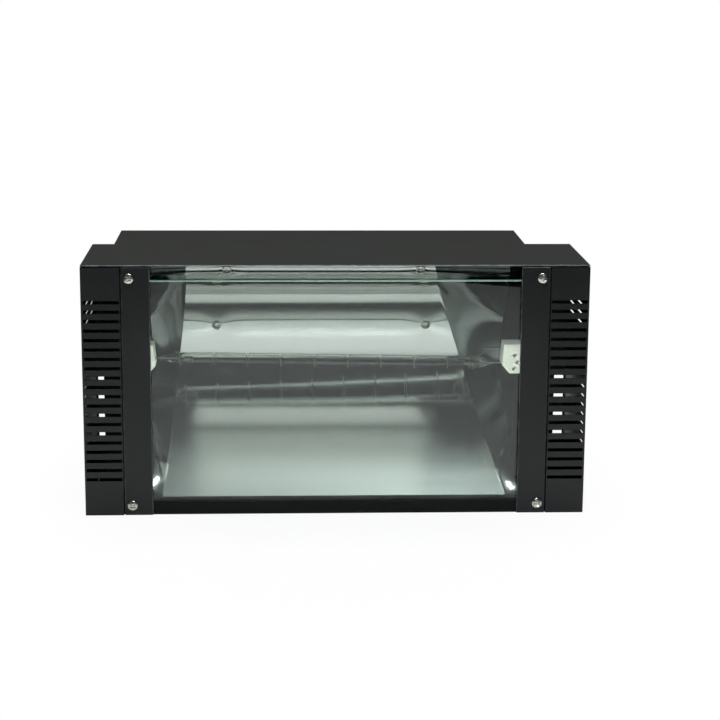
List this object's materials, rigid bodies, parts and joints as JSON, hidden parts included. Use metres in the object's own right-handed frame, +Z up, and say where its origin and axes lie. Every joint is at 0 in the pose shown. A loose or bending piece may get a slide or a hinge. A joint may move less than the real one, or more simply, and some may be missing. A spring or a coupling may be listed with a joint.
{
  "type": "stage strobe light",
  "caption": "Black sheet-steel stage strobe with a wire-wound xenon flash tube in a bent mirror reflector, glass front, slotted side vents and a tilting yoke.",
  "frame": {"origin": "on the base plate's underside, at the middle of the front frame's width and of the case's depth", "axes": "+Z up, +Y from the glass front to the rear panel, +X to the right seen from the front"},
  "size_m": [0.43, 0.2957, 0.218],
  "materials": {
    "black_powder_coat": "satin black powder coat on folded sheet steel",
    "nickel_screw": "bright nickel plated steel",
    "front_glass": "clear toughened plate glass with a green edge",
    "silicone": "dull silicone strip",
    "polished_aluminium": "specular bright aluminium reflector sheet",
    "steatite": "unglazed off-white technical ceramic",
    "quartz_glass": "clear quartz tube",
    "tungsten": "dull grey metal",
    "trigger_wire": "bare bright resistance wire",
    "black_plastic": "moulded black plastic",
    "switch_red": "moulded red plastic",
    "lever_white": "moulded white plastic",
    "zinc_case": "zinc plated steel",
    "board_green": "glass fibre circuit board with green resist",
    "capacitor_sleeve": "dark blue shrink sleeve",
    "coil_resin": "amber varnish on a wound block"
  },
  "bodies": {
    "case": {"base_plate": "black_powder_coat", "top_cover": "black_powder_coat", "bulkhead": "black_powder_coat", "chamber_wall_left": "black_powder_coat", "chamber_wall_right": "black_powder_coat", "reflector_bracket": "black_powder_coat", "reflector_hanger": "black_powder_coat", "socket_bracket_left": "black_powder_coat", "socket_bracket_right": "black_powder_coat", "vent_panel_left": "black_powder_coat", "vent_panel_right": "black_powder_coat", "glass_strip_left": "black_powder_coat", "glass_strip_right": "black_powder_coat", "rear_cover": "black_powder_coat", "rear_panel": "black_powder_coat", "strip_screw_upper_left": "nickel_screw", "strip_screw_upper_right": "nickel_screw", "strip_screw_lower_left": "nickel_screw", "strip_screw_lower_right": "nickel_screw", "reflector_screw_back_left": "nickel_screw", "reflector_screw_back_right": "nickel_screw", "reflector_screw_roof_left": "nickel_screw", "reflector_screw_roof_right": "nickel_screw", "front_glass": "front_glass", "glass_gasket_left": "silicone", "lamp_socket_left": "steatite", "electrode_left": "tungsten", "glass_gasket_right": "silicone", "lamp_socket_right": "steatite", "electrode_right": "tungsten", "reflector": "polished_aluminium", "flash_tube": "quartz_glass", "trigger_wire": "trigger_wire", "power_inlet": "black_plastic", "fuse_holder": "black_plastic", "dmx_input": "black_plastic", "dmx_output": "black_plastic", "fan_frame": "black_plastic", "dip_switch": "switch_red", "speed_pot": "zinc_case", "dimmer_pot": "zinc_case", "control_board": "board_green", "storage_capacitor": "capacitor_sleeve", "trigger_transformer": "coil_resin"},
    "yoke": {"yoke": "black_powder_coat"},
    "clamp_knob_left": {"clamp_knob_left": "black_plastic"},
    "clamp_knob_right": {"clamp_knob_right": "black_plastic"},
    "speed_knob": {"speed_knob": "black_plastic"},
    "dimmer_knob": {"dimmer_knob": "black_plastic"},
    "fan_rotor": {"fan_rotor": "black_plastic"},
    "dip_lever_01": {"dip_lever_01": "lever_white"},
    "dip_lever_02": {"dip_lever_02": "lever_white"},
    "dip_lever_03": {"dip_lever_03": "lever_white"},
    "dip_lever_04": {"dip_lever_04": "lever_white"},
    "dip_lever_05": {"dip_lever_05": "lever_white"},
    "dip_lever_06": {"dip_lever_06": "lever_white"},
    "dip_lever_07": {"dip_lever_07": "lever_white"},
    "dip_lever_08": {"dip_lever_08": "lever_white"},
    "dip_lever_09": {"dip_lever_09": "lever_white"},
    "dip_lever_10": {"dip_lever_10": "lever_white"}
  },
  "joints": [
    {"name": "yoke_tilt", "type": "hinge", "parent": "case", "child": "yoke", "pos_m": [-0.01025, 0.055, 0.13], "axis": [1, 0, 0], "range_deg": [-50, 105]},
    {"name": "clamp_knob_left_turn", "type": "hinge", "parent": "case", "child": "clamp_knob_left", "pos_m": [-0.2015, 0.055, 0.13], "axis": [1, 0, 0], "range_deg": [-180, 180]},
    {"name": "clamp_knob_right_turn", "type": "hinge", "parent": "case", "child": "clamp_knob_right", "pos_m": [0.181, 0.055, 0.13], "axis": [1, 0, 0], "range_deg": [-180, 180]},
    {"name": "speed_knob_turn", "type": "hinge", "parent": "case", "child": "speed_knob", "pos_m": [0.08775, 0.11, 0.118], "axis": [0, 1, 0], "range_deg": [-135, 135]},
    {"name": "dimmer_knob_turn", "type": "hinge", "parent": "case", "child": "dimmer_knob", "pos_m": [0.12475, 0.11, 0.118], "axis": [0, 1, 0], "range_deg": [-135, 135]},
    {"name": "fan_spin", "type": "hinge", "parent": "case", "child": "fan_rotor", "pos_m": [-0.01025, 0.11, 0.062], "axis": [0, 1, 0], "continuous": true},
    {"name": "dip_lever_01_slide", "type": "slide", "parent": "case", "child": "dip_lever_01", "axis": [0, 0, 1], "range_m": [0, 0.0019]},
    {"name": "dip_lever_02_slide", "type": "slide", "parent": "case", "child": "dip_lever_02", "axis": [0, 0, 1], "range_m": [0, 0.0019]},
    {"name": "dip_lever_03_slide", "type": "slide", "parent": "case", "child": "dip_lever_03", "axis": [0, 0, 1], "range_m": [0, 0.0019]},
    {"name": "dip_lever_04_slide", "type": "slide", "parent": "case", "child": "dip_lever_04", "axis": [0, 0, 1], "range_m": [0, 0.0019]},
    {"name": "dip_lever_05_slide", "type": "slide", "parent": "case", "child": "dip_lever_05", "axis": [0, 0, 1], "range_m": [0, 0.0019]},
    {"name": "dip_lever_06_slide", "type": "slide", "parent": "case", "child": "dip_lever_06", "axis": [0, 0, 1], "range_m": [0, 0.0019]},
    {"name": "dip_lever_07_slide", "type": "slide", "parent": "case", "child": "dip_lever_07", "axis": [0, 0, 1], "range_m": [0, 0.0019]},
    {"name": "dip_lever_08_slide", "type": "slide", "parent": "case", "child": "dip_lever_08", "axis": [0, 0, 1], "range_m": [0, 0.0019]},
    {"name": "dip_lever_09_slide", "type": "slide", "parent": "case", "child": "dip_lever_09", "axis": [0, 0, 1], "range_m": [0, 0.0019]},
    {"name": "dip_lever_10_slide", "type": "slide", "parent": "case", "child": "dip_lever_10", "axis": [0, 0, 1], "range_m": [0, 0.0019]}
  ]
}
